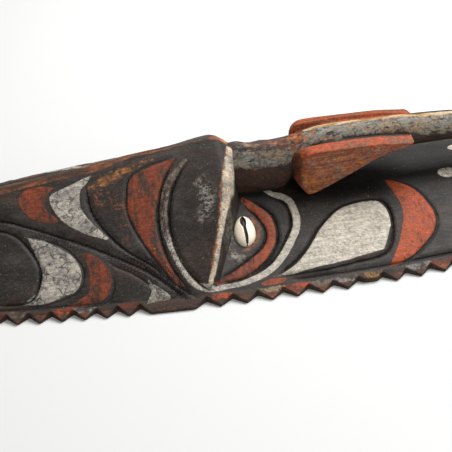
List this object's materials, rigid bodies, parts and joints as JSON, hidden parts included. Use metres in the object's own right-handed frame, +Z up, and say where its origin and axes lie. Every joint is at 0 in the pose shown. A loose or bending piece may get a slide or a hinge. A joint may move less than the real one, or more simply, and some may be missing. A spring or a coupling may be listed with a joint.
{
  "type": "carved tribal mask",
  "caption": "Long carved wooden mask with a ridged forehead, shell eyes, a free-standing nose bar with nostril wings and a serrated rim; hollow behind, lying on its rim.",
  "frame": {"origin": "under the middle of the mask, on the surface that its rim lies on", "axes": "+X along the mask from the forehead to the chin, +Y across it, +Z up out of the face"},
  "size_m": [0.8, 0.199, 0.072],
  "materials": {
    "painted_wood": "blackened carved wood with earth-red and off-white painted bands, matt, worn brown along the ridge and the teeth",
    "cowrie_shell": null
  },
  "bodies": {
    "root": {"mask_body": "painted_wood", "cowrie_eye_left": "cowrie_shell", "cowrie_eye_right": "cowrie_shell"}
  },
  "joints": []
}
